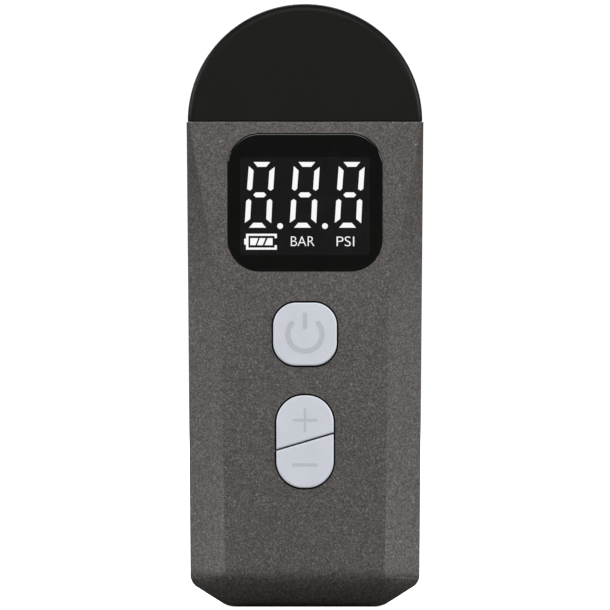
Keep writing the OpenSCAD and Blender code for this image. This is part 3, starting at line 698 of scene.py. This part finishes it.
BARS = {
    "top": [(-1.42, 7.48), (2.38, 7.48), (1.47, 6.39), (-0.51, 6.39)],
    "upper_left": [(-2.50, 6.56), (-1.42, 5.56), (-1.73, 1.42), (-2.26, 0.94), (-2.91, 1.33)],
    "upper_right": [(3.39, 6.37), (3.08, 1.37), (2.48, 0.94), (1.90, 1.33), (2.19, 5.41)],
    "middle": [(-1.47, 0), (-0.94, 0.56), (0.94, 0.56), (1.47, 0), (0.94, -0.56), (-0.94, -0.56)],
    "lower_left": [(-2.50, -0.94), (-1.95, -1.37), (-2.19, -5.50), (-3.41, -6.37), (-3.10, -1.37)],
    "lower_right": [(2.31, -0.94), (2.84, -1.37), (2.60, -6.46), (1.47, -5.50), (1.66, -1.37)],
    "bottom": [(-2.43, -7.48), (-1.47, -6.37), (0.46, -6.37), (1.42, -7.48)],
}
SEG_Y = LENS_Y - 0.03
for i, cx in enumerate((-10.3, -0.05, 10.2)):
    shown = [[(cx + x, 93.95 + z) for x, z in pts] for pts in BARS.values()]
    plates(f"digit_{i + 1}", shown, SEG_Y, 0.04, "display_segment")
plates("decimal_points", [[(x + cx, z) for x, z in circle(0.66, 86.84, 32)] for cx in (-5.67, 4.55)], SEG_Y, 0.04, "display_segment")
plates("battery_sign", [
    [(-13.44, 81.46), (-6.41, 81.46), (-6.41, 82.48), (-6.94, 82.48), (-6.94, 81.93), (-12.89, 81.93), (-12.89, 84.61),
     (-6.94, 84.61), (-6.94, 84.08), (-6.41, 84.08), (-6.41, 85.08), (-13.44, 85.08), (-13.44, 83.96), (-13.85, 83.96),
     (-13.85, 82.62), (-13.44, 82.62)],
    [(-12.47, 84.08), (-10.67, 84.08), (-11.27, 82.48), (-12.47, 82.48)],
    [(-10.31, 84.08), (-8.99, 84.08), (-9.64, 82.48), (-10.91, 82.48)],
    [(-8.51, 84.08), (-7.38, 84.08), (-7.38, 82.48), (-9.23, 82.48)]], SEG_Y, 0.04, "display_segment")


def unit_sign(name, text, x0, x1, z0, z1):
    """Generic pressure units in a plain face, as thin lit pieces."""
    c = bpy.data.curves.new(name, "FONT")
    c.body = text
    c.extrude = 0.02
    c.offset = -0.011
    c.resolution_u = 6
    tmp = bpy.data.objects.new(name + "_tmp", c)
    scene.collection.objects.link(tmp)
    bpy.context.view_layer.update()
    me = bpy.data.meshes.new_from_object(tmp.evaluated_get(bpy.context.evaluated_depsgraph_get()))
    bpy.data.objects.remove(tmp)
    xs, ys = [v.co.x for v in me.vertices], [v.co.y for v in me.vertices]
    for v in me.vertices:
        x = x0 + (v.co.x - min(xs)) / (max(xs) - min(xs)) * (x1 - x0)
        z = z0 + (v.co.y - min(ys)) / (max(ys) - min(ys)) * (z1 - z0)
        v.co = Vector((x, SEG_Y + (0.04 if v.co.z < 0 else 0.0), z)) * MM
    bm = bmesh.new()
    bm.from_mesh(me)
    bmesh.ops.remove_doubles(bm, verts=bm.verts, dist=1e-7)
    bmesh.ops.recalc_face_normals(bm, faces=bm.faces)
    bm.to_mesh(me)
    bm.free()
    me.name = name
    return add_object(name, me, "display_segment")


unit_sign("unit_bar", "BAR", -3.21, 2.15, 82.29, 84.50)
unit_sign("unit_psi", "PSI", 7.20, 11.22, 82.24, 84.47)

# keys: rounded caps over the CAD's flange, each with its sign let into the face
FACE_Y = -19.78


def half_plane_cut(pts, s, gap, angle, z0):
    """The part of an outline above (s = 1) or below (s = -1) a sloping gap through its middle."""
    a = math.radians(angle)
    nx, nz = -math.sin(a) * s, math.cos(a) * s
    d = lambda p: p[0] * nx + (p[1] - z0) * nz - gap / 2
    out = []
    for i in range(len(pts)):
        p, q = pts[i - 1], pts[i]
        dp, dq = d(p), d(q)
        if (dp < 0) != (dq < 0):
            t = dp / (dp - dq)
            out.append((p[0] + (q[0] - p[0]) * t, p[1] + (q[1] - p[1]) * t))
        if dq >= 0:
            out.append(q)
    return out


def densify(pts, step=0.35):
    """Even points along an outline, without near doubles."""
    pts = [p for i, p in enumerate(pts) if math.hypot(p[0] - pts[i - 1][0], p[1] - pts[i - 1][1]) > 0.03]
    out = []
    for i in range(len(pts)):
        p, q = pts[i - 1], pts[i]
        n = max(1, int(math.hypot(q[0] - p[0], q[1] - p[1]) / step))
        out += [(p[0] + (q[0] - p[0]) * k / n, p[1] + (q[1] - p[1]) * k / n) for k in range(n)]
    sharp = []
    for i in range(len(pts)):
        (ax, az), (bx, bz), (cx, cz) = pts[i - 1], pts[i], pts[(i + 1) % len(pts)]
        if Vector((bx - ax, bz - az)).angle(Vector((cx - bx, cz - bz))) > math.radians(35):
            sharp.append((bx, bz))
    return [p for p in out if all(not 1e-6 < math.hypot(p[0] - c[0], p[1] - c[1]) < 0.56 for c in sharp)]


def key_cap(name, node, cap, flange, body):
    """A key's cap with a rounded front edge, standing on its flange."""
    cap, flange = densify(cap), densify(flange)
    # rings of equal length: each flange point is the nearest in angle to the cap's
    cx = sum(p[0] for p in cap) / len(cap)
    cz = sum(p[1] for p in cap) / len(cap)

    def on_flange(p):
        best, d = None, 1e9
        ux, uz = p[0] - cx, p[1] - cz
        for i in range(len(flange)):
            a, b = flange[i - 1], flange[i]
            ax, az, bx, bz = a[0] - cx, a[1] - cz, b[0] - cx, b[1] - cz
            den = ux * (bz - az) - uz * (bx - ax)
            if abs(den) < 1e-12:
                continue
            t = (ax * (bz - az) - az * (bx - ax)) / den
            k = (ax * uz - az * ux) / den
            if t > 0 and -1e-6 <= k <= 1 + 1e-6 and t < d:
                best, d = (cx + ux * t, cz + uz * t), t
        return best or p

    wide = [on_flange(p) for p in cap]
    rings = [ring(wide, -15.9), ring(wide, -16.85), ring(wide, -16.9), ring(cap, -16.9)]
    rings += [ring(cap, -16.95), ring(cap, -17.7)] + rounded_face(cap, -17.75, FACE_Y, 0.38, 6)
    o = shape(name, rings, "key_plastic", body, replaces=[node], degrees=40)
    o.data.materials.append(MAT["black_plastic"])
    for p in o.data.polygons:
        if p.center.y > -17.6 * MM:
            p.material_index = 1
    return o


key_cap("power_key_cap", "power_button", rrect(14.2, 14.1, 5.0, 62.2, 0.02), rrect(16.2, 16.1, 6.0, 62.2, 0.02), "power_key")
PAIR, PAIR_FLANGE = rrect(12.9, 20.85, 6.0, 37.7, 0.012), rrect(14.7, 22.65, 6.9, 37.7, 0.012)
key_cap("plus_key_cap", "plus_button", half_plane_cut(PAIR, 1, 0.34, 16.5, 37.7), half_plane_cut(PAIR_FLANGE, 1, 0.34, 16.5, 37.7), "plus_key")
key_cap("minus_key_cap", "minus_button", half_plane_cut(PAIR, -1, 0.34, 16.5, 37.7), half_plane_cut(PAIR_FLANGE, -1, 0.34, 16.5, 37.7), "minus_key")

SIGN_Y = FACE_Y - 0.012


def arc_band(r0, r1, a0, a1, z0, x0=0.0, n=48):
    """A ring sector with round ends, in degrees from +X."""
    m, h = (r0 + r1) / 2, (r1 - r0) / 2
    at = lambda r, a: (x0 + r * math.cos(math.radians(a)), z0 + r * math.sin(math.radians(a)))
    pts = [at(r1, a0 + (a1 - a0) * i / n) for i in range(n + 1)]
    ex, ez = at(m, a1)
    pts += [(ex + h * math.cos(math.radians(a1 + 180 * i / 8)), ez + h * math.sin(math.radians(a1 + 180 * i / 8))) for i in range(1, 8)]
    pts += [at(r0, a1 + (a0 - a1) * i / n) for i in range(n + 1)]
    ex, ez = at(m, a0)
    pts += [(ex + h * math.cos(math.radians(a0 + 180 + 180 * i / 8)), ez + h * math.sin(math.radians(a0 + 180 + 180 * i / 8))) for i in range(1, 8)]
    return pts


def strip(x0, z0, x1, z1, r):
    w, h = x1 - x0, z1 - z0
    return [(x + (x0 + x1) / 2, z) for x, z in rrect(w, h, r, (z0 + z1) / 2, 0.0, 5)]


plates("power_sign", [arc_band(3.3, 4.5, 141, 399, 62.2), strip(-0.52, 63.3, 0.52, 67.1, 0.3)], SIGN_Y, 0.1, "key_icon", "power_key")
plates("plus_sign", [strip(-0.3, 39.85, 0.3, 45.35, 0.15), strip(-2.85, 42.28, -0.31, 42.92, 0.15), strip(0.31, 42.28, 2.85, 42.92, 0.15)],
       SIGN_Y, 0.1, "key_icon", "plus_key")
plates("minus_sign", [strip(-2.9, 32.02, 2.9, 32.78, 0.2)], SIGN_Y, 0.1, "key_icon", "minus_key")


def threaded_insert():
    """The brass insert: knurled outside, turned face with rounded lips, entry chamfer and a full internal thread."""
    n = 336
    pitch, deep = 1.0, 0.46
    steps = 66
    verts, faces = [], []
    for j in range(n):
        a = 2 * math.pi * j / n
        ridge = abs(((j / 6.0) % 1.0) - 0.5) * 2
        kn = 7.74 + 0.21 * min(1.0, ridge * 1.5)
        prof = [(4.0, 11.4), (7.55, 11.4), (kn - 0.12, 11.5), (kn, 11.65), (kn, 18.6), (kn, 18.76), (kn - 0.03, 18.83),
                (kn - 0.08, 18.87), (kn - 0.14, 18.885), (7.5, 18.898), (7.44, 18.9), (6.36, 18.9), (6.3, 18.9), (6.24, 18.89),
                (6.18, 18.86), (6.10, 18.79)]
        for i in range(steps + 1):
            y = 18.62 - (18.62 - 12.9) * i / steps
            t = ((y / pitch) + a / (2 * math.pi)) % 1.0
            tri = 1 - abs(2 * t - 1)
            cut = deep * max(0.0, min(1.0, (tri - 0.12) / 0.72))
            fade = min(1.0, i / 5.0, (steps - i) / 6.0)
            entry = max(0.0, (y - 18.2) / 0.42) * 0.48
            prof.append((5.55 + max(cut * fade, entry), y))
        prof += [(5.9, 12.85), (5.9, 12.2), (5.3, 12.18), (5.3, 11.65), (4.0, 11.63)]
        verts += [(r * math.cos(a) * MM, y * MM, (110.75 + r * math.sin(a)) * MM) for r, y in prof]
        k = len(prof)
    for j in range(n):
        q = (j + 1) % n
        for i in range(k):
            p = (i + 1) % k
            faces.append((j * k + i, q * k + i, q * k + p, j * k + p))
    me = bpy.data.meshes.new("threaded_insert")
    me.from_pydata(verts, [], faces)
    bm = bmesh.new()
    bm.from_mesh(me)
    bmesh.ops.recalc_face_normals(bm, faces=bm.faces)
    bm.to_mesh(me)
    bm.free()
    smooth(me, 38)
    o = add_object("threaded_insert", me, "brass")
    o.modifiers.new("even_normals", "WEIGHTED_NORMAL").keep_sharp = True
    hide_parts("outlet_insert")


threaded_insert()

# ---- stage, light and camera ----------------------------------------------------------------------------------

def stage_floor():
    bm = bmesh.new()
    bmesh.ops.create_circle(bm, cap_ends=True, segments=96, radius=14.0)
    me = bpy.data.meshes.new("floor")
    bm.to_mesh(me)
    bm.free()
    o = bpy.data.objects.new("floor", me)
    scene.collection.objects.link(o)
    o.location = (0, 0, -0.00005)
    m = bpy.data.materials.new("floor_pale")
    m.use_nodes = True
    t = m.node_tree
    t.nodes.clear()
    out = t.nodes.new("ShaderNodeOutputMaterial")
    path = t.nodes.new("ShaderNodeLightPath")
    geo = t.nodes.new("ShaderNodeNewGeometry")
    pale = t.nodes.new("ShaderNodeBsdfDiffuse")
    pale.inputs["Color"].default_value = (0.8, 0.8, 0.8, 1)
    glow = t.nodes.new("ShaderNodeEmission")
    co = t.nodes.new("ShaderNodeTexCoord")
    away = t.nodes.new("ShaderNodeVectorMath")
    away.operation = "LENGTH"
    t.links.new(co.outputs["Object"], away.inputs[0])
    rise = t.nodes.new("ShaderNodeMapRange")
    rise.inputs["From Min"].default_value = 0.05
    rise.inputs["From Max"].default_value = 0.45
    rise.inputs["To Min"].default_value = 0.72
    rise.inputs["To Max"].default_value = 1.02
    t.links.new(away.outputs["Value"], rise.inputs["Value"])
    t.links.new(rise.outputs["Result"], glow.inputs["Strength"])
    add = t.nodes.new("ShaderNodeAddShader")
    t.links.new(pale.outputs[0], add.inputs[0])
    t.links.new(glow.outputs[0], add.inputs[1])
    dim = t.nodes.new("ShaderNodeBsdfDiffuse")
    dim.inputs["Color"].default_value = (0.15, 0.142, 0.13, 1)
    pick = t.nodes.new("ShaderNodeMixShader")
    t.links.new(path.outputs["Is Camera Ray"], pick.inputs[0])
    t.links.new(dim.outputs[0], pick.inputs[1])
    t.links.new(add.outputs[0], pick.inputs[2])
    clear = t.nodes.new("ShaderNodeBsdfTransparent")
    under = t.nodes.new("ShaderNodeMixShader")
    passes = t.nodes.new("ShaderNodeMath")
    passes.operation = "MAXIMUM"
    t.links.new(geo.outputs["Backfacing"], passes.inputs[0])
    t.links.new(path.outputs["Is Shadow Ray"], passes.inputs[1])
    t.links.new(passes.outputs[0], under.inputs[0])
    t.links.new(pick.outputs[0], under.inputs[1])
    t.links.new(clear.outputs[0], under.inputs[2])
    t.links.new(under.outputs[0], out.inputs["Surface"])
    me.materials.append(m)


def world():
    w = bpy.data.worlds.new("studio")
    scene.world = w
    w.use_nodes = True
    t = w.node_tree
    t.nodes.clear()
    out = t.nodes.new("ShaderNodeOutputWorld")
    path = t.nodes.new("ShaderNodeLightPath")
    white = t.nodes.new("ShaderNodeBackground")
    white.inputs["Color"].default_value = (1, 1, 1, 1)
    white.inputs["Strength"].default_value = 1.1
    dim = t.nodes.new("ShaderNodeBackground")
    dim.inputs["Color"].default_value = (0.92, 0.96, 1, 1)
    dim.inputs["Strength"].default_value = 0.10
    pick = t.nodes.new("ShaderNodeMixShader")
    t.links.new(path.outputs["Is Camera Ray"], pick.inputs[0])
    t.links.new(dim.outputs[0], pick.inputs[1])
    t.links.new(white.outputs[0], pick.inputs[2])
    t.links.new(pick.outputs[0], out.inputs["Surface"])


def softbox(name, loc, target, w, h, power, color=(1, 1, 1)):
    d = bpy.data.lights.new(name, "AREA")
    d.shape = "RECTANGLE"
    d.size, d.size_y = w, h
    d.energy = power
    d.color = color
    o = bpy.data.objects.new(name, d)
    scene.collection.objects.link(o)
    o.location = loc
    o.rotation_mode = "QUATERNION"
    o.rotation_quaternion = (Vector(target) - Vector(loc)).to_track_quat("-Z", "Y")
    o.visible_camera = False
    return o


stage_floor()
world()
MID = (0, 0, 0.07)


def around(azimuth, elevation, distance=5.0):
    """A point seen from the middle of the object; azimuth 0 is in front of the display, 90 to its right."""
    a, e = math.radians(azimuth), math.radians(elevation)
    return (MID[0] + distance * math.sin(a) * math.cos(e), MID[1] - distance * math.cos(a) * math.cos(e), MID[2] + distance * math.sin(e))


softbox("side_left", around(-80, 17), MID, 2.6, 1.4, 178.0)
softbox("side_right", around(76, 17), MID, 2.6, 1.4, 220.0)
softbox("front_top", around(0, 30), MID, 3.0, 3.4, 176.0)
softbox("back_top", around(180, 30), MID, 3.0, 3.2, 146.0)
softbox("back_left", around(-140, 20), MID, 2.0, 2.0, 26.0)
softbox("under", around(0, -78), MID, 2.4, 2.4, 7.0)

cam = bpy.data.cameras.new("camera")
cam.sensor_width = 36.0
cam.lens = 1000.0
cam_o = bpy.data.objects.new("camera", cam)
scene.collection.objects.link(cam_o)
scene.camera = cam_o
height = (cad_hi.z - cad_lo.z)
frame_half = height / 2 * 610 / 603.6
dist = frame_half / (18.0 / cam.lens)
cam_o.location = (0, cad_lo.y - dist, height / 2 + 0.0001)
cam_o.rotation_euler = (math.pi / 2, 0, 0)
cam.clip_start, cam.clip_end = 0.1, 60

scene.view_settings.view_transform = "Standard"
scene.view_settings.look = "None"
scene.view_settings.exposure = 0.0
scene.view_settings.gamma = 1.0
